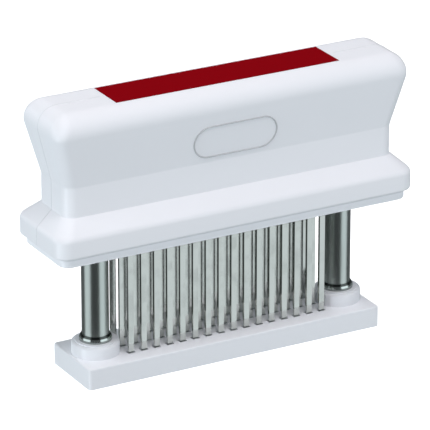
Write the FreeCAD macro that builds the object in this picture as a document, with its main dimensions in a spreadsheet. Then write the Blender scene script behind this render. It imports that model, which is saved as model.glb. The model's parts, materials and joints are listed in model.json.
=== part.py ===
import FreeCAD, Part
import math
import os
import re

import Sketcher
from FreeCAD import Placement, Rotation, Vector

# Hand blade tenderizer: a hollow moulded handle carries three rows of flat blades and slides on
# two steel columns, which stand on a slotted guard plate. Two springs inside the handle lift it.
# Origin: middle of the guard plate's underside. +X along the handle, +Z up, all sizes in mm.

SIZES = {
    # guard plate, with a round boss for each column
    "plate_end": 9.8,
    "plate_width": 28.2,
    "plate_thick": 7.9,
    "plate_corner": 1.2,
    "plate_edge": 0.5,
    "boss_radius": 8.7,
    "boss_height": 4.65,
    "boss_edge": 0.9,
    "boss_lip_radius": 7.4,
    "boss_lip_height": 0.35,
    "socket_floor": 4.4,
    "head_recess": 2.2,
    # columns, their collars and fastenings
    "column_inset": 22.5,
    "column_radius": 4.9,
    "column_wall": 1.0,
    "collar_radius": 5.9,
    "collar_side": 1.5,
    "collar_height": 2.75,
    "collar_seat": 0.5,
    "collar_neck": 5.25,
    "nut_height": 10.0,
    "foot_screw_radius": 2.0,
    "foot_head_radius": 3.6,
    "foot_head_height": 1.8,
    "foot_screw_length": 9.0,
    "cap_radius": 6.3,
    "cap_thick": 1.6,
    "cap_plug": 8.0,
    # springs between the column caps and the seats under the handle's roof
    "spring_radius": 5.1,
    "spring_wire": 0.8,
    "spring_turns": 5.5,
    "nub_radius": 4.2,
    "nub_height": 2.0,
    "nub_taper": 0.6,
    "seat_radius": 6.6,
    "seat_thick": 1.6,
    # handle: flange, sloping skirt, straight waist, flaring grip with a rounded crown
    "blade_window": 40.8,
    "flange_length": 144.0,
    "flange_width": 35.0,
    "flange_height": 7.2,
    "flange_corner": 5.6,
    "flange_shoulder": 2.6,
    "flange_lip": 0.7,
    "skirt_height": 5.6,
    "skirt_reach": 6.0,
    "waist_height": 11.0,
    "waist_corner": 4.6,
    "grip_height": 27.3,
    "grip_flare_x": 6.8,
    "grip_flare_y": 4.7,
    "crown_round": 6.9,
    "handle_wall": 2.4,
    "handle_roof": 3.2,
    "rim_x": 4.0,
    "rim_y": 3.5,
    "mouth_height": 5.0,
    "mouth_corner": 3.0,
    "post_root": 1.0,
    # label let into the crown
    "label_inset": 21.5,
    "label_width": 16.5,
    "label_depth": 0.3,
    "label_thick": 0.4,
    # cover plate that closes the handle, with its bushes and screws
    "cover_inset_x": 2.3,
    "cover_inset_y": 1.8,
    "cover_thick": 3.7,
    "cover_corner": 4.1,
    "cover_edge": 0.5,
    "tongue_height": 3.0,
    "bush_flange": 7.4,
    "bush_flange_thick": 1.6,
    "bush_radius": 6.3,
    "bush_recess": 0.8,
    "screw_inset_x": 10.5,
    "screw_inset_y": 9.5,
    "cover_screw_radius": 1.6,
    "cover_head_radius": 3.0,
    "cover_screw_length": 12.5,
    "screw_post_radius": 3.0,
    # blades, their carriers and the clamp plate above them
    "blade_count": 16,
    "row_end": 10.5,
    "row_inset": 2.44,
    "blade_width": 2.1,
    "blade_thick": 1.2,
    "tip_depth": 0.2,
    "blade_bevel": 4.4,
    "blade_land": 0.15,
    "blade_head_width": 3.2,
    "blade_head_height": 1.6,
    "carrier_end": 0.75,
    "carrier_height": 9.2,
    "clamp_thick": 2.0,
    "clamp_pitch_count": 5,
    "clamp_screw_radius": 1.3,
    "clamp_head_height": 1.5,
    "clamp_screw_length": 10.0,
    "clamp_post_radius": 2.8,
    # cross slots of the screw heads: width as a share of the head's radius, and depth
    "slot_share": 0.25,
    "slot_depth": 0.8,
    # clearances
    "slot_play_x": 0.4,
    "slot_play_y": 0.6,
    "cover_play": 0.25,
    "fit_play": 0.02,
    "slide_play": 0.07,
    "seat_play": 0.2,
    "hole_play": 0.2,
    "tongue_play": 0.3,
    "label_play": 0.1,
    "tower_play": 0.6,
    "tower_wall": 1.5,
    "clamp_play": 0.5,
    "head_play": 0.53,
    "pilot_spare": 0.5,
    "stop_gap": 0.2,
}

# Places along the handle and across it that follow from the sizes above.
COLUMN_X = "(flange_length / 2 - column_inset)"
PLATE_LENGTH = f"(2 * ({COLUMN_X} + plate_end))"
WAIST_LENGTH = "(flange_length - 2 * skirt_reach)"
WAIST_WIDTH = "(flange_width - 2 * skirt_reach)"
GRIP_LENGTH = f"({WAIST_LENGTH} + 2 * grip_flare_x)"
GRIP_WIDTH = f"({WAIST_WIDTH} + 2 * grip_flare_y)"
MOUTH_LENGTH = "(flange_length - 2 * rim_x)"
MOUTH_WIDTH = "(flange_width - 2 * rim_y)"
COVER_LENGTH = "(flange_length - 2 * cover_inset_x)"
COVER_WIDTH = "(flange_width - 2 * cover_inset_y)"
LABEL_LENGTH = f"({WAIST_LENGTH} - 2 * label_inset)"
COVER_SCREW_X = "(flange_length / 2 - screw_inset_x)"
COVER_SCREW_Y = "(flange_width / 2 - screw_inset_y)"
CAVITY_LENGTH = f"({WAIST_LENGTH} - 2 * handle_wall)"
CAVITY_WIDTH = f"({WAIST_WIDTH} - 2 * handle_wall)"
LAST_BLADE = f"({COLUMN_X} - row_end)"
FIRST_BLADE = f"-{LAST_BLADE}"
BLADE_PITCH = f"(2 * {LAST_BLADE} / (blade_count - 1))"
ROW_PITCH = f"({CAVITY_WIDTH} / 2 - row_inset)"
CARRIER_LENGTH = f"(2 * {LAST_BLADE} + blade_width + 2 * carrier_end)"
CARRIER_WIDTH = "(2 * row_inset)"
CLAMP_WIDTH = f"({CAVITY_WIDTH} - 2 * clamp_play)"
CLAMP_SCREW_X = f"(clamp_pitch_count * {BLADE_PITCH})"
CLAMP_SCREW_Y = f"({ROW_PITCH} / 2)"
CLAMP_HEAD = f"({CLAMP_SCREW_Y} - blade_thick / 2 - head_play)"

# Heights, from the floor up.
BLADE_TIP = "(plate_thick - tip_depth)"
LIP_FOOT = "(plate_thick + boss_height)"
BOSS_TOP = f"({LIP_FOOT} + boss_lip_height)"
COLLAR_FOOT = f"({BOSS_TOP} - collar_seat)"
COVER_FOOT = "(plate_thick + blade_window)"
FLANGE_FOOT = f"({COVER_FOOT} + cover_thick)"
FLANGE_TOP = f"({FLANGE_FOOT} + flange_height)"
MOUTH_TOP = f"({FLANGE_FOOT} + mouth_height)"
WAIST_FOOT = f"({FLANGE_TOP} + skirt_height)"
CREASE = f"({WAIST_FOOT} + waist_height)"
CROWN = f"({CREASE} + grip_height)"
ROOF = f"({CROWN} - handle_roof)"
TONGUE_TOP = f"({FLANGE_FOOT} + tongue_height)"
BUSH_TOP = f"({TONGUE_TOP} + bush_flange_thick)"
COLUMN_TOP = f"({BUSH_TOP} + stop_gap)"
CAP_TOP = f"({COLUMN_TOP} + cap_thick)"
SPRING_TOP = f"({ROOF} - seat_thick)"
CARRIER_FOOT = f"({TONGUE_TOP} + seat_play)"
CARRIER_TOP = f"({CARRIER_FOOT} + carrier_height)"
CLAMP_FOOT = f"({CARRIER_TOP} + blade_head_height)"
CLAMP_TOP = f"({CLAMP_FOOT} + clamp_thick)"

# Radii that follow.
COLUMN_BORE = "(column_radius - column_wall)"
TOWER_BORE = "(cap_radius + tower_play)"

doc = FreeCAD.newDocument("BladeTenderizer")
sheet = doc.addObject("Spreadsheet::Sheet", "Sizes")
for row, (name, number) in enumerate(SIZES.items(), 1):
    sheet.set(f"A{row}", name)
    sheet.set(f"B{row}", str(number))
    sheet.setAlias(f"B{row}", name)
doc.recompute()


def bound(text):
    """The expression with each named size read from the sheet."""
    return re.sub(r"[a-z]\w*", lambda m: f"Sizes.{m[0]}" if m[0] in SIZES else m[0], str(text))


def value(text):
    """The number that an expression of named sizes gives now."""
    return float(sheet.evalExpression(bound(text)))


def drive(thing, **sizes):
    """Binds properties of a feature to expressions."""
    for name, text in sizes.items():
        thing.setExpression(name.replace("_at_", "."), bound(text))
    return thing


def new_body(label):
    body = doc.addObject("PartDesign::Body", label)
    body.Label = label
    return body


def new_sketch(body, role="XY_Plane", offset=None):
    """Sketch on one of the body's own origin planes, raised by offset."""
    sketch = body.newObject("Sketcher::SketchObject", f"{body.Label}_sketch")
    plane = next(f for f in body.Origin.OriginFeatures if f.Role == role)
    sketch.AttachmentSupport = [(plane, "")]
    sketch.MapMode = "FlatFace"
    if offset is not None:
        sketch.setExpression("AttachmentOffset.Base.z", bound(offset))
    return sketch


def pin(sketch, geometry, point, across, along):
    """Holds a point of the sketch at two expressions measured from its origin."""
    for kind, axis, text in (("DistanceX", -2, across), ("DistanceY", -1, along)):
        if text == "0":
            sketch.addConstraint(Sketcher.Constraint("PointOnObject", geometry, point, axis))
            continue
        index = sketch.addConstraint(
            Sketcher.Constraint(kind, -1, 1, geometry, point, value(text))
        )
        sketch.setExpression(f"Constraints[{index}]", bound(text))


def polygon(sketch, points):
    """Closed outline of straight lines through points given as expressions."""
    first, count = sketch.GeometryCount, len(points)
    spots = [Vector(value(a), value(b), 0) for a, b in points]
    for i in range(count):
        sketch.addGeometry(Part.LineSegment(spots[i], spots[(i + 1) % count]), False)
    for i in range(count):
        after = first + (i + 1) % count
        sketch.addConstraint(Sketcher.Constraint("Coincident", first + i, 2, after, 1))
    for i, (a, b) in enumerate(points):
        pin(sketch, first + i, 1, a, b)
    return sketch


def rectangle(sketch, length, width, across="0", along="0"):
    """Rectangle about a centre."""
    x0, x1 = (f"({across}) {s} ({length}) / 2" for s in "-+")
    y0, y1 = (f"({along}) {s} ({width}) / 2" for s in "-+")
    return polygon(sketch, [(x0, y0), (x1, y0), (x1, y1), (x0, y1)])


def rounded_rectangle(sketch, length, width, corner):
    """Rectangle about the origin, its sides joined smoothly by corner arcs."""
    radius, first = value(corner), sketch.GeometryCount
    for quarter, (a, b) in enumerate((("", ""), ("-", ""), ("-", "-"), ("", "-"))):
        across = f"{a}(({length}) / 2 - ({corner}))"
        along = f"{b}(({width}) / 2 - ({corner}))"
        centre = Vector(value(across), value(along), 0)
        start = math.radians(90 * quarter)
        round_corner = Part.Circle(centre, Vector(0, 0, 1), radius)
        sketch.addGeometry(Part.ArcOfCircle(round_corner, start, start + math.pi / 2), False)
        pin(sketch, first + quarter, 3, across, along)
        index = sketch.addConstraint(Sketcher.Constraint("Radius", first + quarter, radius))
        sketch.setExpression(f"Constraints[{index}]", bound(corner))
    for quarter in range(4):
        arc, after = first + quarter, first + (quarter + 1) % 4
        ends = sketch.Geometry[arc].EndPoint, sketch.Geometry[after].StartPoint
        side = sketch.addGeometry(Part.LineSegment(*ends), False)
        sketch.addConstraint(Sketcher.Constraint("Tangent", arc, 2, side, 1))
        sketch.addConstraint(Sketcher.Constraint("Tangent", side, 2, after, 1))
    return sketch


def circle(sketch, radius, across="0", along="0"):
    centre = Vector(value(across), value(along), 0)
    ring = sketch.addGeometry(Part.Circle(centre, Vector(0, 0, 1), value(radius)), False)
    pin(sketch, ring, 3, across, along)
    index = sketch.addConstraint(Sketcher.Constraint("Radius", ring, value(radius)))
    sketch.setExpression(f"Constraints[{index}]", bound(radius))
    return sketch


def circles(sketch, radius, spots):
    for across, along in spots:
        circle(sketch, radius, across, along)
    return sketch


def feature(body, kind, sketch, **sizes):
    """Sketch-based feature whose sizes are bound to expressions."""
    made = body.newObject(f"PartDesign::{kind}", f"{body.Label}_{kind.lower()}")
    made.Profile = sketch
    drive(made, **sizes)
    sketch.Visibility = False
    return made


def through(body, sketch):
    """Pocket from the sketch down through all that lies below it."""
    cut = feature(body, "Pocket", sketch)
    cut.Type = "ThroughAll"
    return cut


def revolve(body, points):
    """Turned solid: the profile's points are radius and height."""
    sketch = polygon(new_sketch(body, "XZ_Plane"), points)
    turned = feature(body, "Revolution", sketch)
    turned.ReferenceAxis = (sketch, ["V_Axis"])
    turned.Angle = 360.0
    return turned


def loft(body, low, high):
    made = feature(body, "AdditiveLoft", low)
    made.Sections = [high]
    made.Ruled = True
    return made


def row_of(body, cut):
    """Repeats a pocket once for each blade of a row."""
    pattern = body.newObject("PartDesign::LinearPattern", f"{body.Label}_row")
    pattern.Originals = [cut]
    axis = next(f for f in body.Origin.OriginFeatures if f.Role == "X_Axis")
    pattern.Direction = (axis, [""])
    drive(pattern, Length=f"2 * {LAST_BLADE}", Occurrences="blade_count")
    body.Tip = pattern
    return pattern


def edges_of(shape, test):
    """Numbers of the edges whose two ends pass the test."""
    return [
        i
        for i, edge in enumerate(shape.Edges, 1)
        if test(edge.Vertexes[0].Point, edge.Vertexes[-1].Point)
    ]


def soften(body, kind, size, test, prop="Radius"):
    """Fillet or chamfer on the edges of the body's tip that pass the test."""
    doc.recompute()
    tip = body.Tip
    made = body.newObject(f"PartDesign::{kind}", f"{body.Label}_{kind.lower()}")
    made.Base = (tip, [f"Edge{i}" for i in edges_of(tip.Shape, test)])
    return drive(made, **{prop: size})


def upright(a, b):
    """Test for edges that run upwards."""
    return abs(a.z - b.z) > 1e-3


def level(height):
    """Test for edges that lie at a height."""
    z = value(height)
    return lambda a, b: abs(a.z - z) < 1e-4 and abs(b.z - z) < 1e-4


def cylinder(label, radius, low, high, across="0", along="0"):
    solid = doc.addObject("Part::Cylinder", label)
    drive(solid, Radius=radius, Height=f"({high}) - ({low})")
    drive(solid, Placement_at_Base_at_x=across, Placement_at_Base_at_y=along)
    return drive(solid, Placement_at_Base_at_z=low)


def cone(label, low_radius, high_radius, low, high, across="0", along="0"):
    solid = doc.addObject("Part::Cone", label)
    drive(solid, Radius1=low_radius, Radius2=high_radius, Height=f"({high}) - ({low})")
    drive(solid, Placement_at_Base_at_x=across, Placement_at_Base_at_y=along)
    return drive(solid, Placement_at_Base_at_z=low)


def joined(label, solids):
    made = doc.addObject("Part::MultiFuse", label)
    made.Shapes = solids
    return made


def cut_from(label, base, tool):
    made = doc.addObject("Part::Cut", label)
    made.Base, made.Tool = base, tool
    return made


def group_of(label, shapes):
    """Several like solids in one node."""
    node = doc.addObject("Part::Feature", label)
    node.Shape = Part.makeCompound(shapes)
    node.Placement = Placement()
    return node


SIDES = (("left", f"-{COLUMN_X}"), ("right", COLUMN_X))
ROWS = (("front", f"-{ROW_PITCH}"), ("middle", "0"), ("rear", ROW_PITCH))
NODES = []


def keep(node, label):
    node.Label = label
    NODES.append(node)
    return node


def turned_pair(label, points):
    """The same turned piece on each column's axis."""
    for side, across in SIDES:
        body = new_body(f"{label}_{side}")
        revolve(body, points)
        drive(body, Placement_at_Base_at_x=across)
        keep(body, f"{label}_{side}")


# --- guard plate ---------------------------------------------------------------------------
plate = new_body("lower_plate")
feature(
    plate, "Pad", rectangle(new_sketch(plate), PLATE_LENGTH, "plate_width"), Length="plate_thick"
)
soften(plate, "Fillet", "plate_corner", upright)
on_columns = [(across, "0") for _, across in SIDES]
feature(
    plate,
    "Pad",
    circles(new_sketch(plate, offset="plate_thick"), "boss_radius", on_columns),
    Length="boss_height",
)
soften(plate, "Fillet", "boss_edge", level(LIP_FOOT))
feature(
    plate,
    "Pad",
    circles(new_sketch(plate, offset=LIP_FOOT), "boss_lip_radius", on_columns),
    Length="boss_lip_height",
)
# column sockets, collar seats, screw holes and the recesses of the screw heads
for radius, top, depth in (
    ("collar_radius + fit_play", BOSS_TOP, "collar_seat"),
    ("column_radius + fit_play", BOSS_TOP, f"{BOSS_TOP} - socket_floor"),
    ("foot_screw_radius + hole_play", "socket_floor", "socket_floor"),
    ("foot_head_radius + hole_play", "head_recess", "head_recess"),
):
    sketch = circles(new_sketch(plate, offset=top), radius, on_columns)
    feature(plate, "Pocket", sketch, Length=depth)
slots = new_sketch(plate, offset="plate_thick")
for _, row in ROWS:
    rectangle(
        slots,
        "blade_width + 2 * slot_play_x",
        "blade_thick + 2 * slot_play_y",
        FIRST_BLADE,
        row,
    )
row_of(plate, through(plate, slots))
top_level = level("plate_thick")
soften(
    plate,
    "Fillet",
    "plate_edge",
    lambda a, b: top_level(a, b) and abs(a.y) > value("plate_width / 2 - 2 * plate_corner"),
)
keep(plate, "lower_plate")

# --- columns and what is fixed to them -----------------------------------------------------
for side, across in SIDES:
    tube = new_body(f"column_{side}")
    ring = new_sketch(tube, offset="socket_floor")
    circle(ring, "column_radius")
    circle(ring, COLUMN_BORE)
    feature(tube, "Pad", ring, Length=f"{COLUMN_TOP} - socket_floor")
    drive(tube, Placement_at_Base_at_x=across)
    keep(tube, f"column_{side}")

turned_pair(
    "column_collar",
    [
        ("column_radius + fit_play", COLLAR_FOOT),
        ("collar_radius", COLLAR_FOOT),
        ("collar_radius", f"{COLLAR_FOOT} + collar_side"),
        ("collar_neck", f"{COLLAR_FOOT} + collar_height"),
        ("column_radius + fit_play", f"{COLLAR_FOOT} + collar_height"),
    ],
)
turned_pair(
    "stop_cap",
    [
        ("0", f"{COLUMN_TOP} - cap_plug"),
        (f"{COLUMN_BORE} - fit_play", f"{COLUMN_TOP} - cap_plug"),
        (f"{COLUMN_BORE} - fit_play", COLUMN_TOP),
        ("cap_radius", COLUMN_TOP),
        ("cap_radius", CAP_TOP),
        ("nub_radius", CAP_TOP),
        ("nub_radius - nub_taper", f"{CAP_TOP} + nub_height"),
        ("0", f"{CAP_TOP} + nub_height"),
    ],
)

# threaded plugs in the column feet, drawn up by a screw through the plate from below
doc.recompute()
plug_parts, screw_parts = [], []
for side, across in SIDES:
    plug = cylinder(
        f"plug_{side}",
        f"{COLUMN_BORE} - fit_play",
        "socket_floor",
        "socket_floor + nut_height",
        across,
    )
    bore = cylinder(
        f"plug_bore_{side}",
        "foot_screw_radius + fit_play",
        "socket_floor",
        "socket_floor + nut_height",
        across,
    )
    plug_parts.append(cut_from(f"plug_cut_{side}", plug, bore))
    head = cylinder(
        f"foot_head_{side}", "foot_head_radius", "head_recess - foot_head_height", "head_recess", across
    )
    shank = cylinder(
        f"foot_shank_{side}",
        "foot_screw_radius",
        "head_recess",
        "head_recess + foot_screw_length",
        across,
    )
    slot = doc.addObject("Part::Box", f"foot_drive_{side}")
    drive(
        slot,
        Length="2 * foot_head_radius",
        Width="slot_share * foot_head_radius",
        Height="slot_depth",
        Placement_at_Base_at_x=f"{across} - foot_head_radius",
        Placement_at_Base_at_y="-slot_share * foot_head_radius / 2",
        Placement_at_Base_at_z="head_recess - foot_head_height",
    )
    screw = joined(f"foot_screw_{side}", [head, shank])
    screw_parts.append(cut_from(f"foot_screw_cut_{side}", screw, slot))
doc.recompute()
keep(group_of("foot_plugs", [p.Shape for p in plug_parts]), "foot_plugs")
keep(group_of("foot_screws", [s.Shape for s in screw_parts]), "foot_screws")

# --- springs -------------------------------------------------------------------------------
for side, across in SIDES:
    coil_path = doc.addObject("Part::Helix", f"spring_path_{side}")
    rise = f"({SPRING_TOP} - {CAP_TOP} - spring_wire)"
    drive(coil_path, Radius="spring_radius", Height=rise, Pitch=f"{rise} / spring_turns")
    drive(coil_path, Placement_at_Base_at_z=f"{CAP_TOP} + spring_wire / 2")
    wire_section = doc.addObject("Part::RegularPolygon", f"spring_wire_{side}")
    wire_section.Polygon = 4
    drive(wire_section, Circumradius="spring_wire / sqrt(2)")
    wire_section.Placement = Placement(Vector(), Rotation(0, 0, 90) * Rotation(45, 0, 0))
    drive(
        wire_section,
        Placement_at_Base_at_x="spring_radius",
        Placement_at_Base_at_z=f"{CAP_TOP} + spring_wire / 2",
    )
    doc.recompute()
    spring = doc.addObject("Part::Sweep", f"spring_{side}")
    spring.Sections, spring.Spine = [wire_section], (coil_path, ["Edge1"])
    spring.Solid, spring.Frenet = True, True
    keep(drive(spring, Placement_at_Base_at_x=across), f"spring_{side}")

turned_pair(
    "spring_seat",
    [
        ("0", f"{SPRING_TOP} - nub_height"),
        ("nub_radius - nub_taper", f"{SPRING_TOP} - nub_height"),
        ("nub_radius", SPRING_TOP),
        ("seat_radius", SPRING_TOP),
        ("seat_radius", ROOF),
        ("0", ROOF),
    ],
)


# --- handle shell --------------------------------------------------------------------------
def straight_block(label, low, high, length, width, corner):
    """Upright block with rounded corners between two heights."""
    body = new_body(label)
    sketch = rounded_rectangle(new_sketch(body, offset=low), length, width, corner)
    feature(body, "Pad", sketch, Length=f"{high} - {low}")
    return body


def tapered_block(label, low, high, corner):
    """Block between two rectangles, each given as height, length and width, corners rounded."""
    body = new_body(label)
    wedge = body.newObject("PartDesign::AdditiveWedge", f"{label}_wedge")
    wedge.Placement = Placement(Vector(), Rotation(Vector(1, 0, 0), 90))
    for prefix, (height, length, width) in (("", low), ("2", high)):
        drive(
            wedge,
            **{
                "Ymax" if prefix else "Ymin": height,
                f"X{prefix}min": f"-({length}) / 2",
                f"X{prefix}max": f"({length}) / 2",
                f"Z{prefix}min": f"-({width}) / 2",
                f"Z{prefix}max": f"({width}) / 2",
            },
        )
    soften(body, "Fillet", corner, upright)
    return body


# flange and sloping skirt
base = straight_block(
    "handle_base", FLANGE_FOOT, FLANGE_TOP, "flange_length", "flange_width", "flange_corner"
)
loft(
    base,
    rounded_rectangle(
        new_sketch(base, offset=FLANGE_TOP), "flange_length", "flange_width", "flange_corner"
    ),
    rounded_rectangle(new_sketch(base, offset=WAIST_FOOT), WAIST_LENGTH, WAIST_WIDTH, "waist_corner"),
)
soften(base, "Fillet", "flange_shoulder", level(FLANGE_TOP))
soften(base, "Fillet", "flange_lip", level(FLANGE_FOOT))

# straight waist and flaring grip with its crown
waist = straight_block(
    "handle_waist", WAIST_FOOT, CREASE, WAIST_LENGTH, WAIST_WIDTH, "waist_corner"
)
grip = tapered_block(
    "handle_grip",
    (CREASE, WAIST_LENGTH, WAIST_WIDTH),
    (CROWN, GRIP_LENGTH, GRIP_WIDTH),
    "waist_corner",
)
soften(grip, "Fillet", "crown_round", level(CROWN))
outer = joined("handle_outer", [base, waist, grip])

# the cavity follows the outer form a wall's thickness inside it
ROOF_SHARE = f"(({ROOF} - {CREASE}) / grip_height)"
inner_corner = "waist_corner - handle_wall"
mouth = straight_block(
    "cavity_mouth", FLANGE_FOOT, MOUTH_TOP, MOUTH_LENGTH, MOUTH_WIDTH, "mouth_corner"
)
neck = tapered_block(
    "cavity_neck",
    (MOUTH_TOP, MOUTH_LENGTH, MOUTH_WIDTH),
    (WAIST_FOOT, CAVITY_LENGTH, CAVITY_WIDTH),
    inner_corner,
)
hollow = straight_block(
    "cavity_waist", WAIST_FOOT, CREASE, CAVITY_LENGTH, CAVITY_WIDTH, inner_corner
)
dome = tapered_block(
    "cavity_dome",
    (CREASE, CAVITY_LENGTH, CAVITY_WIDTH),
    (
        ROOF,
        f"{CAVITY_LENGTH} + 2 * grip_flare_x * {ROOF_SHARE}",
        f"{CAVITY_WIDTH} + 2 * grip_flare_y * {ROOF_SHARE}",
    ),
    inner_corner,
)
soften(dome, "Fillet", "crown_round - handle_wall", level(ROOF))
inner = joined("handle_cavity", [mouth, neck, hollow, dome])
shell_walls = cut_from("handle_walls", outer, inner)

# spring towers under the roof, posts for the clamp screws and for the cover screws
clamp_spots = [
    (f"{a}{CLAMP_SCREW_X}", f"{b}{CLAMP_SCREW_Y}") for a in ("-", "") for b in ("-", "")
]
cover_spots = [
    (f"{a}{COVER_SCREW_X}", f"{b}{COVER_SCREW_Y}") for a in ("-", "") for b in ("-", "")
]
adds, drills = [], []
for side, across in SIDES:
    adds.append(
        cylinder(
            f"tower_{side}",
            f"{TOWER_BORE} + tower_wall",
            f"{CLAMP_TOP} + seat_play",
            f"{ROOF} + post_root",
            across,
        )
    )
    drills.append(cylinder(f"tower_bore_{side}", TOWER_BORE, CLAMP_TOP, ROOF, across))
for n, (x, y) in enumerate(clamp_spots):
    adds.append(
        cylinder(f"clamp_post_{n}", "clamp_post_radius", CLAMP_TOP, f"{ROOF} + post_root", x, y)
    )
    drills.append(
        cylinder(
            f"clamp_pilot_{n}",
            "clamp_screw_radius + fit_play",
            CLAMP_TOP,
            f"{CLAMP_FOOT} + clamp_screw_length + pilot_spare",
            x,
            y,
        )
    )
for n, (x, y) in enumerate(cover_spots):
    adds.append(
        cylinder(
            f"cover_post_{n}", "screw_post_radius", TONGUE_TOP, f"{WAIST_FOOT} + post_root", x, y
        )
    )
    drills.append(
        cylinder(
            f"cover_pilot_{n}",
            "cover_screw_radius + fit_play",
            TONGUE_TOP,
            f"{COVER_FOOT} + cover_screw_length + pilot_spare",
            x,
            y,
        )
    )
recess = doc.addObject("Part::Box", "label_recess")
drive(
    recess,
    Length=f"{LABEL_LENGTH} + 2 * label_play",
    Width="label_width + 2 * label_play",
    Height="2 * label_depth",
    Placement_at_Base_at_x=f"-{LABEL_LENGTH} / 2 - label_play",
    Placement_at_Base_at_y="-label_width / 2 - label_play",
    Placement_at_Base_at_z=f"{CROWN} - label_depth",
)
drills.append(recess)
filled = joined("handle_filled", [shell_walls, *adds])
keep(cut_from("handle_shell", filled, joined("handle_drills", drills)), "handle_shell")

label = new_body("top_label")
feature(
    label,
    "Pad",
    rectangle(new_sketch(label, offset=f"{CROWN} - label_depth"), LABEL_LENGTH, "label_width"),
    Length="label_thick",
)
keep(label, "top_label")

# --- cover plate ---------------------------------------------------------------------------
cover = new_body("cover_blank")
feature(
    cover,
    "Pad",
    rounded_rectangle(
        new_sketch(cover, offset=COVER_FOOT), COVER_LENGTH, COVER_WIDTH, "cover_corner"
    ),
    Length="cover_thick",
)
soften(cover, "Fillet", "cover_edge", level(COVER_FOOT))
feature(
    cover,
    "Pad",
    rounded_rectangle(
        new_sketch(cover, offset=FLANGE_FOOT),
        f"{MOUTH_LENGTH} - 2 * tongue_play",
        f"{MOUTH_WIDTH} - 2 * tongue_play",
        "mouth_corner",
    ),
    Length="tongue_height",
)
feature(
    cover,
    "Pocket",
    circles(new_sketch(cover, offset=TONGUE_TOP), "bush_radius + fit_play", on_columns),
    Length="cover_thick + tongue_height",
)
feature(
    cover,
    "Pocket",
    circles(new_sketch(cover, offset=TONGUE_TOP), "cover_screw_radius + hole_play", cover_spots),
    Length="cover_thick + tongue_height",
)
guides = new_sketch(cover, offset=TONGUE_TOP)
for _, row in ROWS:
    rectangle(
        guides, "blade_width + 2 * cover_play", "blade_thick + 2 * cover_play", FIRST_BLADE, row
    )
row_of(cover, through(cover, guides))
sinks = [
    cone(
        f"sink_{n}",
        "cover_head_radius + hole_play",
        "cover_screw_radius + hole_play",
        COVER_FOOT,
        f"{COVER_FOOT} + cover_head_radius - cover_screw_radius",
        x,
        y,
    )
    for n, (x, y) in enumerate(cover_spots)
]
keep(cut_from("cover_plate", cover, joined("cover_sinks", sinks)), "cover_plate")

turned_pair(
    "bush",
    [
        ("column_radius + slide_play", f"{COVER_FOOT} + bush_recess"),
        ("bush_radius", f"{COVER_FOOT} + bush_recess"),
        ("bush_radius", TONGUE_TOP),
        ("bush_flange", TONGUE_TOP),
        ("bush_flange", BUSH_TOP),
        ("column_radius + slide_play", BUSH_TOP),
    ],
)

# countersunk screws of the cover and pan-head screws of the clamp plate
countersunk, pan = [], []
for n, (x, y) in enumerate(cover_spots):
    head = cone(
        f"cover_head_{n}",
        "cover_head_radius",
        "cover_screw_radius",
        COVER_FOOT,
        f"{COVER_FOOT} + cover_head_radius - cover_screw_radius",
        x,
        y,
    )
    shank = cylinder(
        f"cover_shank_{n}",
        "cover_screw_radius",
        f"{COVER_FOOT} + cover_head_radius - cover_screw_radius",
        f"{COVER_FOOT} + cover_screw_length",
        x,
        y,
    )
    screw = joined(f"cover_screw_{n}", [head, shank])
    slot = doc.addObject("Part::Box", f"cover_drive_{n}")
    drive(
        slot,
        Length="2 * cover_head_radius",
        Width="slot_share * cover_head_radius",
        Height="slot_depth",
        Placement_at_Base_at_x=f"{x} - cover_head_radius",
        Placement_at_Base_at_y=f"{y} - slot_share * cover_head_radius / 2",
        Placement_at_Base_at_z=COVER_FOOT,
    )
    countersunk.append(cut_from(f"cover_screw_cut_{n}", screw, slot))
for n, (x, y) in enumerate(clamp_spots):
    head = cylinder(
        f"clamp_head_{n}", CLAMP_HEAD, f"{CLAMP_FOOT} - clamp_head_height", CLAMP_FOOT, x, y
    )
    shank = cylinder(
        f"clamp_shank_{n}",
        "clamp_screw_radius",
        CLAMP_FOOT,
        f"{CLAMP_FOOT} + clamp_screw_length",
        x,
        y,
    )
    pan.append(joined(f"clamp_screw_{n}", [head, shank]))
doc.recompute()
keep(group_of("cover_screws", [s.Shape for s in countersunk]), "cover_screws")
keep(group_of("clamp_screws", [s.Shape for s in pan]), "clamp_screws")

# --- blades, carriers and clamp ------------------------------------------------------------
blade = new_body("blade")
side_view = polygon(
    new_sketch(blade, "YZ_Plane", "-blade_width / 2"),
    [
        ("blade_thick / 2 - blade_land", BLADE_TIP),
        ("blade_thick / 2", BLADE_TIP),
        ("blade_thick / 2", CARRIER_TOP),
        ("-blade_thick / 2", CARRIER_TOP),
        ("-blade_thick / 2", f"{BLADE_TIP} + blade_bevel"),
    ],
)
feature(blade, "Pad", side_view, Length="blade_width")
feature(
    blade,
    "Pad",
    rectangle(new_sketch(blade, offset=CARRIER_TOP), "blade_head_width", "blade_thick"),
    Length="blade_head_height",
)
doc.recompute()

for row_name, along in ROWS:
    carrier = new_body(f"blade_carrier_{row_name}")
    feature(
        carrier,
        "Pad",
        rectangle(new_sketch(carrier, offset=CARRIER_FOOT), CARRIER_LENGTH, CARRIER_WIDTH),
        Length="carrier_height",
    )
    hole = rectangle(
        new_sketch(carrier, offset=CARRIER_TOP),
        "blade_width + 2 * fit_play",
        "blade_thick + 2 * fit_play",
        FIRST_BLADE,
        "0",
    )
    row_of(carrier, through(carrier, hole))
    drive(carrier, Placement_at_Base_at_y=along)
    keep(carrier, f"blade_carrier_{row_name}")

    copies = []
    for i in range(round(value("blade_count"))):
        shift = Vector(value(FIRST_BLADE) + i * value(BLADE_PITCH), value(along), 0)
        copies.append(blade.Shape.translated(shift))
    keep(group_of(f"blades_{row_name}", copies), f"blades_{row_name}")

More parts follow.
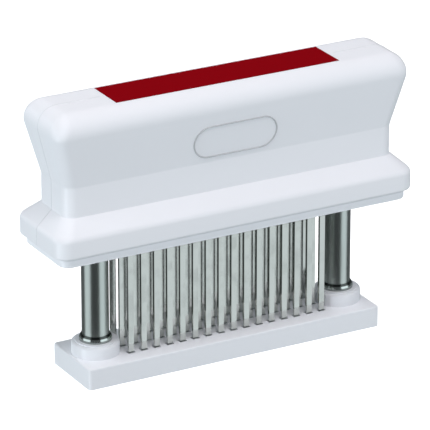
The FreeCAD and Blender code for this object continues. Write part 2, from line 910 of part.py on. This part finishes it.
clamp = new_body("clamp_plate")
feature(
    clamp,
    "Pad",
    rectangle(new_sketch(clamp, offset=CLAMP_FOOT), CARRIER_LENGTH, CLAMP_WIDTH),
    Length="clamp_thick",
)
feature(
    clamp,
    "Pocket",
    circles(new_sketch(clamp, offset=CLAMP_TOP), "clamp_screw_radius + hole_play", clamp_spots),
    Length="clamp_thick",
)
keep(clamp, "clamp_plate")

# --- checks and files ----------------------------------------------------------------------
doc.recompute()
for thing in doc.Objects:
    if {"Invalid", "Error"} & set(thing.State):
        raise RuntimeError(f"{thing.Label}: {thing.State}")
os.makedirs("parts", exist_ok=True)
for node in NODES:
    shape = node.Shape
    if shape.isNull() or not shape.isValid() or not shape.Solids:
        raise RuntimeError(f"{node.Label}: no valid solid")
    shape.exportStep(f"parts/{node.Label}.step")
    box = shape.BoundBox
    print(
        f"{node.Label:22s} solids {len(shape.Solids):2d} volume {shape.Volume:10.1f} "
        f"x {box.XMin:7.2f} {box.XMax:7.2f} y {box.YMin:7.2f} {box.YMax:7.2f} "
        f"z {box.ZMin:7.2f} {box.ZMax:7.2f}"
    )
print(len(NODES), "nodes")
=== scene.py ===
"""Looks of a hand blade tenderizer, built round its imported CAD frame.

Every length is in metres, apart from the lens's, in the frame's own axes: +X along the handle,
+Z up, and the origin under the middle of the guard plate.
"""

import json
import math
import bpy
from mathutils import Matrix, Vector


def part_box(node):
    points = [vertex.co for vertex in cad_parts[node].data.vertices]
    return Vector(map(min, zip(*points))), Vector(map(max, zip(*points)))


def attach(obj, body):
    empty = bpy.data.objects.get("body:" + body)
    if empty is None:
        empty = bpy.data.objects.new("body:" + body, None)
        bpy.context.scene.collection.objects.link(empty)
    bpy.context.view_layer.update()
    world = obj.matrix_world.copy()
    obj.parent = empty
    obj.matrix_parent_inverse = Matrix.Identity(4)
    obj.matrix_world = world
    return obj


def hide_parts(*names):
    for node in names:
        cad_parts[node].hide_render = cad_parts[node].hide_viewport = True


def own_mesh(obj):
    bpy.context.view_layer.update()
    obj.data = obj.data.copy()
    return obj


bl_info = {
    "name": "Blade Tenderizer",
    "version": (1, 0, 0),
    "blender": (4, 5, 0),
    "location": "View3D > Sidebar > Tenderizer",
    "description": "Finishes, small moulded details, studio and camera of a hand blade tenderizer",
    "category": "Object",
}

import bpy
from mathutils import Vector
from mathutils.bvhtree import BVHTree

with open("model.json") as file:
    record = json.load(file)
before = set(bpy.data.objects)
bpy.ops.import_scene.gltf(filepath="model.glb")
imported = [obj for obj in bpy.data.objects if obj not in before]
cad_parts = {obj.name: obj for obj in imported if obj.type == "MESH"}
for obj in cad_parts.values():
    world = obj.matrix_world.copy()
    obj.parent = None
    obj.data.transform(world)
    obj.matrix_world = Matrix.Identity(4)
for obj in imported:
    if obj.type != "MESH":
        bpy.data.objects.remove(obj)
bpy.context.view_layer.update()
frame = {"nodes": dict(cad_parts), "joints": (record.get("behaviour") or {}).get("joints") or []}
NODES = frame["nodes"]
MM = 0.001
SIDES = ("left", "right")
ROWS = ("front", "middle", "rear")

# depths of the surface grain, in metres
FINE_GRAIN = 9e-6
COARSE_GRAIN = 1.5e-5
# the line of painted shade under a joint between two mouldings, where the upper one overhangs: how
# far below it the line starts and is full
SHADE_LINE_START = 1.05 * MM
SHADE_LINE_FULL = 0.90 * MM
# brightness of the mould line and of the ring, darkened as painted shade, and of the cover,
# brightened as painted light, as shares of the handle's
SEAM_PAINTED_SHADE = 0.86
RING_PAINTED_SHADE = 0.62
COVER_PAINTED_LIGHT = 1.10
# where a collar's painted highlight on the lip and the painted shade in the groove over it begin
# and are full, as shares of its height
COLLAR_LIP = (0.46, 0.54)
COLLAR_GROOVE = (0.72, 0.80)


# --- shader maths --------------------------------------------------------------------------
class Value:
    """A shader socket. Python's operators on it add Math nodes."""

    def __init__(self, finish, socket):
        self.finish, self.socket = finish, socket

    def _math(self, operation, *terms):
        return self.finish.node("Math", {"operation": operation}, *terms)

    def __add__(self, other):
        return self._math("ADD", self, other)

    __radd__ = __add__

    def __sub__(self, other):
        return self._math("SUBTRACT", self, other)

    def __rsub__(self, other):
        return self._math("SUBTRACT", other, self)

    def __mul__(self, other):
        return self._math("MULTIPLY", self, other)

    __rmul__ = __mul__


class Finish:
    """A node tree under construction, of a material or of the world."""

    def __init__(self, owner):
        owner.use_nodes = True
        self.owner, self.tree = owner, owner.node_tree
        self.tree.nodes.clear()

    def node(self, kind, settings=None, *values, output=0, **named):
        """Adds a node: its settings first, then values or links for its sockets.
        Returns the wanted one of its outputs."""
        made = self.tree.nodes.new(f"ShaderNode{kind}")
        for name, setting in (settings or {}).items():
            setattr(made, name, setting)
        inputs = [socket for socket in made.inputs if socket.enabled]
        for name, value in [*enumerate(values), *named.items()]:
            socket = self._pick(inputs, name)
            if isinstance(value, Value):
                self.tree.links.new(value.socket, socket)
            else:
                socket.default_value = value
        outputs = [socket for socket in made.outputs if socket.enabled]
        if not outputs:
            return None
        return Value(self, self._pick(outputs, output))

    @staticmethod
    def _pick(sockets, key):
        """A socket by its number, or by its name with underscores for the spaces."""
        if isinstance(key, int):
            return sockets[key]
        return next(socket for socket in sockets if socket.name == key.replace("_", " "))

    def height(self):
        """How high a point of the surface lies, in metres."""
        return self.node("SeparateXYZ", None, self.node("TexCoord", output="Object"), output="Z")

    def place(self, *stretch):
        """Object coordinates in metres, stretched along each axis."""
        spot = self.node("TexCoord", output="Object")
        return self.node("VectorMath", {"operation": "MULTIPLY"}, spot, stretch)

    def noise(self, scale, detail=2.0, stretch=(1.0, 1.0, 1.0)):
        """Noise from 0 to 1. Scale is in waves per metre."""
        return self.node(
            "TexNoise", None, Vector=self.place(*stretch), Scale=scale, Detail=detail, output="Fac"
        )

    def ramp(self, value, low, high, low_shade=0.0, high_shade=1.0):
        """The value's stretch from low to high, spread smoothly between two shades."""
        return self.node(
            "MapRange",
            {"interpolation_type": "SMOOTHSTEP"},
            value,
            low,
            high,
            low_shade,
            high_shade,
        )

    def blend(self, share, first, second):
        """Mix of two colours."""
        return self.node("Mix", {"data_type": "RGBA"}, share, first, second)

    def bump(self, height, depth, strength=1.0):
        """Relief whose depth is in metres."""
        return self.node("Bump", None, Height=height, Distance=depth, Strength=strength)

    def surface(self, **sockets):
        shader = self.node("BsdfPrincipled", None, **sockets)
        self.node("OutputMaterial", None, shader)
        return self.owner


def colour(rgb, shade=1.0):
    return (rgb[0] * shade, rgb[1] * shade, rgb[2] * shade, 1.0)


def new_finish(name):
    return Finish(bpy.data.materials.new(name))


def moulded_plastic(name, rgb, roughness, grain=FINE_GRAIN, joint=None):
    """Satin moulding: faint clouding of the colour, an uneven sheen and a fine spark-eroded grain.
    A joint is the height of the next moulding's edge, with a fine line of painted shade close under
    it, where that edge overhangs."""
    finish = new_finish(name)
    cloud = finish.noise(28.0, 3.0)
    smear = finish.noise(90.0, 4.0, (1.0, 1.0, 0.35))
    pits = finish.noise(2600.0, 2.0)
    tone = finish.blend(cloud, colour(rgb, 0.985), colour(rgb))
    if joint is not None:
        # painted shade: the colour darkens to a line just under the joint, where the moulding above
        # shades it
        painted_shade = finish.ramp(finish.height(), joint - SHADE_LINE_START, joint - SHADE_LINE_FULL)
        tone = finish.blend(painted_shade, tone, colour(rgb, 0.78))
    return finish.surface(
        Base_Color=tone,
        Roughness=roughness + (smear - 0.5) * 0.10,
        Normal=finish.bump(pits, grain),
        IOR=1.46,
    )


def lathed(finish, tone, roughness):
    """Bare metal with the fine rings that turning leaves round its axis."""
    rings = finish.noise(30.0, 3.0, (1.0, 1.0, 260.0))
    return finish.surface(
        Base_Color=tone,
        Metallic=1.0,
        Roughness=roughness + rings * 0.05,
        Normal=finish.bump(rings, 4e-6, 0.35),
    )


def turned_steel(name, rgb, roughness):
    """Turned and polished round bar with a few long wear marks."""
    finish = new_finish(name)
    wear = finish.ramp(finish.noise(60.0, 4.0, (6.0, 6.0, 0.6)), 0.52, 0.74)
    tone = finish.blend(wear, colour(rgb), colour(rgb, 0.90))
    return lathed(finish, tone, roughness + wear * 0.06)


def rimmed_steel(name, rgb, roughness, low, high):
    """Polished ring with its colour banded by height: a painted highlight on the lip between a
    darker foot and painted shade in the groove over it.
    """
    finish = new_finish(name)
    lip, groove = (
        finish.ramp(finish.height(), *(low + share * (high - low) for share in edges))
        for edges in (COLLAR_LIP, COLLAR_GROOVE)
    )
    # painted highlight on the lip over a darker foot, then painted shade in the groove
    footed = finish.blend(lip, colour(rgb, 0.60), colour(rgb, 1.40))
    return lathed(finish, finish.blend(groove, footed, colour(rgb, 0.20)), roughness)


def ground_steel(name, rgb, roughness):
    """Rolled strip with long grinding lines and slight stains."""
    finish = new_finish(name)
    lines = finish.noise(900.0, 3.0, (4.0, 4.0, 0.12))
    stain = finish.ramp(finish.noise(120.0, 4.0), 0.42, 0.70)
    return finish.surface(
        Base_Color=finish.blend(stain, colour(rgb), colour(rgb, 0.88)),
        Metallic=1.0,
        Roughness=roughness + lines * 0.05 + stain * 0.03,
        Normal=finish.bump(lines, 6e-6, 0.30),
    )


def printed_label(name, rgb):
    """Glossy printed film: a faint weave of the print and soft waves of the glue under it."""
    finish = new_finish(name)
    print_mottle = finish.noise(700.0, 2.0)
    waves = finish.noise(55.0, 2.0)
    return finish.surface(
        Base_Color=finish.blend(print_mottle, colour(rgb, 0.92), colour(rgb, 1.06)),
        Roughness=0.42 + print_mottle * 0.06,
        Specular_IOR_Level=0.03,
        Normal=finish.bump(waves, 3e-5, 0.4),
    )


def floor_finish(name, shade, glow):
    """Plain pale sweep, lit a little from behind so that shadows stay light."""
    finish = new_finish(name)
    fleck = finish.noise(40.0, 2.0)
    return finish.surface(
        Base_Color=finish.blend(fleck, colour((shade,) * 3, 0.99), colour((shade,) * 3)),
        Roughness=0.9,
        Emission_Color=(1.0, 1.0, 1.0, 1.0),
        Emission_Strength=glow,
    )


# --- what a user can change -----------------------------------------------------------------
def length_of(name, description, default):
    return bpy.props.FloatProperty(
        name=name,
        description=description,
        default=default,
        min=0.01 * MM,
        precision=5,
        unit="LENGTH",
    )


def shade_of(name, description, default):
    return bpy.props.FloatVectorProperty(
        name=name,
        description=description,
        default=default,
        size=3,
        min=0.0,
        max=1.0,
        subtype="COLOR",
    )


def roughness_of(name, description, default):
    return bpy.props.FloatProperty(
        name=name, description=description, default=default, min=0.0, max=1.0, subtype="FACTOR"
    )


def power_w(name, description, default):
    return bpy.props.FloatProperty(
        name=name, description=f"{description}, W", default=default, min=0.0, unit="POWER"
    )


class TenderizerFinishes(bpy.types.PropertyGroup):
    """Colours and roughness of the materials."""

    plastic: shade_of("Plastic", "White of the handle and the guard plate", (0.86, 0.87, 0.90))
    plastic_roughness: roughness_of("Plastic roughness", "Roughness of the mouldings", 0.38)
    inner_plastic: shade_of("Inner plastic", "Bushes and blade carriers", (0.70, 0.72, 0.73))
    inner_roughness: roughness_of("Inner roughness", "Roughness of the bushes and carriers", 0.5)
    label: shade_of("Label", "Red of the label on the crown", (0.220, 0.0, 0.003))
    steel: shade_of("Column steel", "Tint of the columns and collars", (0.57, 0.62, 0.59))
    column_roughness: roughness_of("Column roughness", "Roughness of the columns", 0.27)
    collar_roughness: roughness_of("Collar roughness", "Roughness of the collars", 0.14)
    screw: shade_of("Screw steel", "Tint of the screws and plugs", (0.56, 0.57, 0.58))
    screw_roughness: roughness_of("Screw roughness", "Roughness of the screws and plugs", 0.28)
    wire: shade_of("Spring steel", "Tint of the spring wire", (0.50, 0.51, 0.52))
    wire_roughness: roughness_of("Spring roughness", "Roughness of the spring wire", 0.30)
    blade: shade_of("Blade steel", "Tint of the blades", (0.61, 0.63, 0.595))
    blade_roughness: roughness_of("Blade roughness", "Roughness of the blades", 0.09)


class TenderizerMoulding(bpy.types.PropertyGroup):
    """Small moulded details of the handle."""

    seam_width: length_of("Seam width", "Width of the mould line on the ends", 0.26 * MM)
    ring_length: length_of("Ring length", "Length of the plain ring on the front", 33.0 * MM)
    ring_height: length_of("Ring height", "Height of the plain ring on the front", 12.0 * MM)
    ring_bead: length_of("Ring bead", "Width of the ring's bead", 0.6 * MM)
    ring_middle: length_of("Ring middle", "Place of the ring's middle over the floor", 84.3 * MM)


class TenderizerSprings(bpy.types.PropertyGroup):
    """Wire of the two coil springs."""

    wire: length_of("Wire", "Diameter of the spring wire", 0.8 * MM)
    open_turns: bpy.props.FloatProperty(
        name="Open turns", description="Turns between the closed end turns", default=4.5, min=1.0
    )


class TenderizerStudio(bpy.types.PropertyGroup):
    """Camera, floor and lights."""

    azimuth: bpy.props.FloatProperty(
        name="Azimuth",
        description="Camera's turn about the part, from the front towards its right end",
        default=math.radians(-28.933),
        subtype="ANGLE",
    )
    elevation: bpy.props.FloatProperty(
        name="Elevation",
        description="Camera's angle over the floor",
        default=math.radians(21.965),
        subtype="ANGLE",
    )
    distance: bpy.props.FloatProperty(
        name="Distance", description="Camera to aim point", default=1.41709, unit="LENGTH"
    )
    aim: bpy.props.FloatVectorProperty(
        name="Aim",
        description="Point the camera looks at",
        default=(-0.0010, 0.0003, 0.0503),
        size=3,
        subtype="XYZ_LENGTH",
        unit="LENGTH",
    )
    lens: bpy.props.FloatProperty(
        name="Lens", description="Focal length in millimetres", default=333.2, unit="CAMERA"
    )
    fill_above: bpy.props.FloatProperty(
        name="Fill above",
        description="Strength of the surround over the floor",
        default=0.07,
        min=0.0,
    )
    fill_below: bpy.props.FloatProperty(
        name="Fill below", description="Light thrown back from the floor", default=0.57, min=0.0
    )
    dark: bpy.props.FloatProperty(
        name="Dark surround", description="Surround that bare metal mirrors", default=0.07, min=0.0
    )
    side_box: power_w("Side boxes", "Soft boxes beside the camera, which bare metal mirrors", 4.7)
    front_wash: power_w("Front wash", "Light over the camera that metal doesn't mirror", 5.6)
    left_wash: power_w("Left wash", "Light left of the camera that metal doesn't mirror", 20.5)
    right_wash: power_w("Right wash", "Light right of the camera that metal doesn't mirror", 5.0)
    back_box: power_w("Back boxes", "Soft boxes behind the part, which bare metal mirrors", 0.4)
    back_wash: power_w("Back wash", "Light behind the part that metal doesn't mirror", 10.0)
    top_box: power_w("Top box", "Soft box overhead", 2.2)
    floor_glow: bpy.props.FloatProperty(
        name="Floor glow", description="Light that the floor shows of itself", default=0.9, min=0.0
    )
    cool: shade_of("Cool light", "Tint of the side boxes and the surround", (0.885, 0.955, 1.0))
    warm: shade_of("Warm light", "Tint of the lights over the part", (1.0, 0.96, 0.985))


# --- helpers of the operators ----------------------------------------------------------------
def outward(bearing, rise):
    """Direction away from the part: its bearing from the front towards the right, and its rise."""
    flat = Vector((math.sin(bearing), -math.cos(bearing), 0.0)) * math.cos(rise)
    return flat + Vector((0.0, 0.0, math.sin(rise)))


def dress(names, finish):
    """Gives CAD nodes a finish."""
    for name in names:
        node = NODES[name]
        node.data.materials.clear()
        node.data.materials.append(finish)


def add_piece(name, mesh, finish, body):
    """Adds a mesh as a piece that moves with a body."""
    mesh.materials.clear()
    mesh.materials.append(finish)
    piece = bpy.data.objects.new(name, mesh)
    bpy.context.collection.objects.link(piece)
    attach(piece, body)
    return piece


def bead(name, points, width, body, finish, closed=False):
    """A thin round bead or wire through points."""
    curve = bpy.data.curves.new(name, "CURVE")
    curve.dimensions, curve.bevel_depth, curve.bevel_resolution = "3D", width / 2, 3
    spline = curve.splines.new("POLY")
    spline.points.add(len(points) - 1)
    for spot, point in zip(spline.points, points):
        spot.co = (*point, 1.0)
    spline.use_cyclic_u = closed
    curve.use_fill_caps = not closed
    drawn = bpy.data.objects.new(f"{name}_line", curve)
    bpy.context.collection.objects.link(drawn)
    swept = drawn.evaluated_get(bpy.context.evaluated_depsgraph_get())
    mesh = bpy.data.meshes.new_from_object(swept)
    bpy.data.objects.remove(drawn)
    mesh.name = name
    mesh.shade_smooth()
    return add_piece(name, mesh, finish, body)


def surface_of(name):
    """Search tree of a CAD node's surface."""
    mesh = NODES[name].data
    return BVHTree.FromPolygons(
        [v.co for v in mesh.vertices], [p.vertices for p in mesh.polygons]
    )


def finish_of(name, make, *values):
    """The finish of that name, made the first time that it is asked for."""
    return bpy.data.materials.get(name) or make(name, *values)


def plastic_of(scene):
    own = scene.tenderizer_finishes
    return finish_of("white_moulding", moulded_plastic, own.plastic, own.plastic_roughness)


def relief_plastic_of(scene, name, shade):
    """Fine relief lines in a darker copy of the moulding: painted shade standing in for the shade
    along a fine groove.
    """
    own = scene.tenderizer_finishes
    # a darker copy of the white: painted shade
    rgb = [shade * part for part in own.plastic]
    return finish_of(name, moulded_plastic, rgb, own.plastic_roughness)


def cover_plastic_of(scene):
    """The cover's white is a brighter copy of the handle's: painted light making up for the shade
    under the flange, with a line of painted shade under the joint.
    """
    own = scene.tenderizer_finishes
    # painted light: the cover's white is brightened over the handle's
    rgb = [min(1.0, COVER_PAINTED_LIGHT * part) for part in own.plastic]
    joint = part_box("handle_shell")[0][2]
    return finish_of(
        "cover_moulding", moulded_plastic, rgb, own.plastic_roughness, FINE_GRAIN, joint
    )


def inner_plastic_of(scene):
    own = scene.tenderizer_finishes
    return finish_of(
        "inner_moulding", moulded_plastic, own.inner_plastic, own.inner_roughness, COARSE_GRAIN
    )


def screw_steel_of(scene):
    own = scene.tenderizer_finishes
    return finish_of("plated_screw", turned_steel, own.screw, own.screw_roughness)


# --- operators: one for each piece or group, and the studio --------------------------------
class TENDERIZER_OT_handle(bpy.types.Operator):
    """Handle shell with its mould line and the plain ring on its front"""

    bl_idname = "tenderizer.handle"
    bl_label = "Handle"

    # rays that find the mould line: their first angle, the angle they cover, and how many
    SEAM_START, SEAM_SWEEP, SEAM_RAYS = -62.0, 160.0, 360
    # how far out on the half length the rays meet
    SEAM_CENTRE = 0.70
    # the mould line keeps clear of the flange's foot and of the label
    FOOT_GAP, LABEL_GAP = 0.4 * MM, 0.3 * MM
    RING_POINTS = 120

    def execute(self, context):
        own = context.scene.tenderizer_moulding
        dress(["handle_shell"], plastic_of(context.scene))
        # the mould line and the ring are darker copies of the moulding: painted shade
        faint = relief_plastic_of(context.scene, "seam_moulding", SEAM_PAINTED_SHADE)
        painted_shade_ring = relief_plastic_of(context.scene, "ring_moulding", RING_PAINTED_SHADE)
        shell = surface_of("handle_shell")
        for side, sign in zip(SIDES, (-1, 1)):
            line = self.seam(shell, sign)
            bead(f"mould_seam_{side}", line, own.seam_width, "handle", faint)
        line = self.ring(shell, own)
        bead("front_ring", line, own.ring_bead, "handle", painted_shade_ring, closed=True)
        return {"FINISHED"}

    def seam(self, shell, sign):
        """Mould line over one end, where the two halves of the mould meet: from the foot of the
        flange up and over the crown to the label."""
        low, high = (Vector(corner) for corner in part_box("handle_shell"))
        label_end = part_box("top_label")[1][0]
        centre = Vector((sign * self.SEAM_CENTRE * high.x, 0.0, (low.z + high.z) / 2))
        outside = high.x - low.x
        line = []
        for step in range(self.SEAM_RAYS + 1):
            turn = math.radians(self.SEAM_START + step * self.SEAM_SWEEP / self.SEAM_RAYS)
            out = Vector((sign * math.cos(turn), 0.0, math.sin(turn)))
            spot = shell.ray_cast(centre + outside * out, -out)[0]
            if spot and spot.z > low.z + self.FOOT_GAP and abs(spot.x) > label_end + self.LABEL_GAP:
                line.append(spot)
        return line

    def ring(self, shell, own):
        """Plain ring with round ends on the front, over the thumb's place."""
        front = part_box("handle_shell")[0][1]
        end_radius = own.ring_height / 2
        straight = own.ring_length / 2 - end_radius
        line = []
        for step in range(self.RING_POINTS):
            turn = 2 * math.pi * (step + 0.5) / self.RING_POINTS
            x = math.copysign(straight, math.cos(turn)) + end_radius * math.cos(turn)
            z = own.ring_middle + end_radius * math.sin(turn)
            line.append(shell.ray_cast(Vector((x, 2 * front, z)), Vector((0.0, 1.0, 0.0)))[0])
        return line


class TENDERIZER_OT_label(bpy.types.Operator):
    """Red label on the crown"""

    bl_idname = "tenderizer.label"
    bl_label = "Label"

    def execute(self, context):
        red = context.scene.tenderizer_finishes.label
        dress(["top_label"], finish_of("red_label", printed_label, red))
        return {"FINISHED"}


class TENDERIZER_OT_cover(bpy.types.Operator):
    """Cover plate under the handle, with its bushes and screws"""

    bl_idname = "tenderizer.cover"
    bl_label = "Cover plate"

    def execute(self, context):
        dress(["cover_plate"], cover_plastic_of(context.scene))
        dress([f"bush_{side}" for side in SIDES], inner_plastic_of(context.scene))
        dress(["cover_screws", "clamp_screws"], screw_steel_of(context.scene))
        return {"FINISHED"}


class TENDERIZER_OT_guard(bpy.types.Operator):
    """Slotted guard plate with its screws and plugs"""

    bl_idname = "tenderizer.guard"
    bl_label = "Guard plate"

    def execute(self, context):
        dress(["lower_plate"], plastic_of(context.scene))
        dress(["foot_screws", "foot_plugs"], screw_steel_of(context.scene))
        return {"FINISHED"}


class TENDERIZER_OT_columns(bpy.types.Operator):
    """Steel columns with their collars and caps"""

    bl_idname = "tenderizer.columns"
    bl_label = "Columns"

    def execute(self, context):
        own = context.scene.tenderizer_finishes
        polished = finish_of("polished_column", turned_steel, own.steel, own.column_roughness)
        low, high = (corner[2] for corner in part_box("column_collar_left"))
        bright = finish_of(
            "bright_collar", rimmed_steel, own.steel, own.collar_roughness, low, high
        )
        for side in SIDES:
            dress([f"column_{side}"], polished)
            dress([f"column_collar_{side}"], bright)
            dress([f"stop_cap_{side}", f"spring_seat_{side}"], inner_plastic_of(context.scene))
        return {"FINISHED"}


class TENDERIZER_OT_springs(bpy.types.Operator):
    """Round-wire coil springs over the columns"""

    bl_idname = "tenderizer.springs"
    bl_label = "Springs"

    POINTS_PER_TURN = 36

    def execute(self, context):
        own = context.scene.tenderizer_springs
        steel = context.scene.tenderizer_finishes
        finish = finish_of("spring_wire", turned_steel, steel.wire, steel.wire_roughness)
        press = next(joint for joint in frame["joints"] if joint["name"] == "handle_press")
        for side in SIDES:
            low, high = (Vector(corner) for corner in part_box(f"spring_{side}"))
            line = self.coil(low, high, own)
            spring = bead(f"coil_{side}", line, own.wire, "guard", finish)
            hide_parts(f"spring_{side}")
            length = high.z - low.z
            share = (length - press["range_m"][1]) / length
            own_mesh(spring)
        return {"FINISHED"}

    def coil(self, low, high, own):
        """Middle line of the wire: open turns between one closed turn at each end."""
        wire = own.wire
        radius = (high.x - low.x - wire) / 2
        middle = Vector(((low.x + high.x) / 2, 0.0, low.z + wire / 2))
        rise = high.z - low.z - wire
        turns = own.open_turns + 2
        line = []
        for step in range(int(turns * self.POINTS_PER_TURN) + 1):
            turn = step / self.POINTS_PER_TURN
            if turn < 1.0:
                height = wire * turn
            elif turn > turns - 1.0:
                height = rise - wire * (turns - turn)
            else:
                height = wire + (rise - 2 * wire) * (turn - 1.0) / own.open_turns
            angle = 2 * math.pi * turn
            across = Vector((math.cos(angle), math.sin(angle), 0.0)) * radius
            line.append(middle + across + Vector((0.0, 0.0, height)))
        return line


class TENDERIZER_OT_blades(bpy.types.Operator):
    """Three rows of blades with their carriers and the clamp plate"""

    bl_idname = "tenderizer.blades"
    bl_label = "Blades"

    def execute(self, context):
        own = context.scene.tenderizer_finishes
        strip = finish_of("ground_blade", ground_steel, own.blade, own.blade_roughness)
        for row in ROWS:
            self.strips(row, strip)
        dress([f"blade_carrier_{row}" for row in ROWS], inner_plastic_of(context.scene))
        dress(["clamp_plate"], inner_plastic_of(context.scene))
        return {"FINISHED"}

    def strips(self, row, finish):
        """One row of blades with plain front faces: they are ground at the back of their feet."""
        low, high = (corner[1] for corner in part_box(f"blades_{row}"))
        mesh = NODES[f"blades_{row}"].data.copy()
        for vertex in mesh.vertices:
            vertex.co.y = low + high - vertex.co.y
        mesh.flip_normals()
        mesh.shade_flat()
        piece = add_piece(f"blade_strips_{row}", mesh, finish, "handle")
        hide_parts(f"blades_{row}")


class TENDERIZER_OT_studio(bpy.types.Operator):
    """Pale floor, soft boxes, surrounding light and the camera"""

    bl_idname = "tenderizer.studio"
    bl_label = "Studio"

    FLOOR_REACH = 30.0
    # the top box's place over the aim point and its size
    TOP_PLACE, TOP_SIZE = (-0.10, 0.10, 1.2), (1.3, 1.0)
    # how far round the horizon the surround turns from its lower to its upper light
    HORIZON = 0.15
    VIEW_LIMIT = 100.0
    SENSOR = 36.0

    def execute(self, context):
        scene = context.scene
        own = scene.tenderizer_studio
        scene.view_settings.view_transform = "Standard"
        self.floor(own)
        self.world(scene, own)
        aim = Vector(own.aim)
        # bearing from the camera and rise in degrees, size, mirrored and unmirrored power, tint.
        # The side boxes reach below the floor, which bare metal doesn't mirror.
        for name, turn, rise, size, mirrored, wash, tint in (
            ("front", 12.0, 69.0, (0.6, 0.4), 0.0, own.front_wash, own.warm),
            ("left", -64.0, 0.0, (1.0, 1.7), own.side_box, own.left_wash, own.cool),
            ("right", 64.0, 0.0, (1.0, 1.7), own.side_box, own.right_wash, own.cool),
            ("back_left", -140.0, 0.0, (0.8, 1.7), own.back_box, own.back_wash, own.cool),
            ("back_right", 140.0, 0.0, (0.8, 1.7), own.back_box, own.back_wash, own.cool),
        ):
            spot = aim + outward(own.azimuth + math.radians(turn), math.radians(rise))
            if mirrored:
                self.box(f"box_{name}", spot, aim, size, mirrored, tint)
            washed = self.box(f"wash_{name}", spot, aim, size, wash, tint)
            washed.visible_glossy = False
        over = aim + Vector(self.TOP_PLACE)
        self.box("box_top", over, aim, self.TOP_SIZE, own.top_box, own.warm)
        self.camera(scene, own, aim)
        return {"FINISHED"}

    def floor(self, own):
        """The sweep that the part stands on."""
        mesh = bpy.data.meshes.new("floor")
        reach = self.FLOOR_REACH
        corners = [(-reach, -reach, 0), (reach, -reach, 0), (reach, reach, 0), (-reach, reach, 0)]
        mesh.from_pydata(corners, [], [(0, 1, 2, 3)])
        floor = bpy.data.objects.new("floor", mesh)
        mesh.materials.append(floor_finish("pale_floor", 0.93, own.floor_glow))
        bpy.context.collection.objects.link(floor)
        floor.visible_glossy = floor.visible_diffuse = False

    def world(self, scene, own):
        """Pale surround for soft light. Bare metal mirrors a darker one, like studio flags."""
        scene.world = bpy.data.worlds.new("surround")
        scene.world.cycles.sampling_method = "NONE"
        finish = Finish(scene.world)
        mirrored = finish.node("LightPath", output="Is Glossy Ray")
        direction = finish.node("TexCoord", output="Generated")
        upward = finish.node("SeparateXYZ", None, direction, output="Z")
        soft = finish.ramp(upward, -self.HORIZON, self.HORIZON, own.fill_below, own.fill_above)
        strength = soft + (own.dark - soft) * mirrored
        surround = finish.node("Background", None, Color=colour(own.cool), Strength=strength)
        finish.node("OutputWorld", None, surround)

    def box(self, name, spot, aim, size, power, tint):
        """A soft box at a spot, turned to the aim point and unseen by the camera."""
        light = bpy.data.lights.new(name, "AREA")
        light.shape, (light.size, light.size_y) = "RECTANGLE", size
        light.energy, light.color = power, tint
        lamp = bpy.data.objects.new(name, light)
        lamp.location = spot
        lamp.rotation_euler = (aim - spot).to_track_quat("-Z", "Y").to_euler()
        lamp.visible_camera = False
        bpy.context.collection.objects.link(lamp)
        return lamp

    def camera(self, scene, own, aim):
        """The camera at its bearing and distance from the aim point."""
        camera = bpy.data.cameras.new("camera")
        camera.lens, camera.sensor_width, camera.clip_end = own.lens, self.SENSOR, self.VIEW_LIMIT
        eye = bpy.data.objects.new("camera", camera)
        back = outward(own.azimuth, own.elevation)
        eye.location = aim + own.distance * back
        eye.rotation_euler = (-back).to_track_quat("-Z", "Y").to_euler()
        bpy.context.collection.objects.link(eye)
        scene.camera = eye


OPERATORS = (
    TENDERIZER_OT_handle,
    TENDERIZER_OT_label,
    TENDERIZER_OT_cover,
    TENDERIZER_OT_guard,
    TENDERIZER_OT_columns,
    TENDERIZER_OT_springs,
    TENDERIZER_OT_blades,
    TENDERIZER_OT_studio,
)
GROUPS = {
    "tenderizer_finishes": TenderizerFinishes,
    "tenderizer_moulding": TenderizerMoulding,
    "tenderizer_springs": TenderizerSprings,
    "tenderizer_studio": TenderizerStudio,
}


class TENDERIZER_PT_panel(bpy.types.Panel):
    """Lists the settings and the pieces"""

    bl_idname = "TENDERIZER_PT_panel"
    bl_label = "Blade Tenderizer"
    bl_space_type = "VIEW_3D"
    bl_region_type = "UI"
    bl_category = "Tenderizer"

    def draw(self, context):
        for attribute, group in GROUPS.items():
            section = self.layout.box()
            for name in group.__annotations__:
                section.prop(getattr(context.scene, attribute), name)
        for operator in OPERATORS:
            self.layout.operator(operator.bl_idname)


CLASSES = (*GROUPS.values(), *OPERATORS, TENDERIZER_PT_panel)


def register():
    for one in CLASSES:
        bpy.utils.register_class(one)
    for attribute, group in GROUPS.items():
        setattr(bpy.types.Scene, attribute, bpy.props.PointerProperty(type=group))


def unregister():
    for attribute in GROUPS:
        delattr(bpy.types.Scene, attribute)
    for one in reversed(CLASSES):
        bpy.utils.unregister_class(one)


def main():
    register()
    bpy.ops.tenderizer.handle()
    bpy.ops.tenderizer.label()
    bpy.ops.tenderizer.cover()
    bpy.ops.tenderizer.guard()
    bpy.ops.tenderizer.columns()
    bpy.ops.tenderizer.springs()
    bpy.ops.tenderizer.blades()
    bpy.ops.tenderizer.studio()


if __name__ == "__main__":
    main()
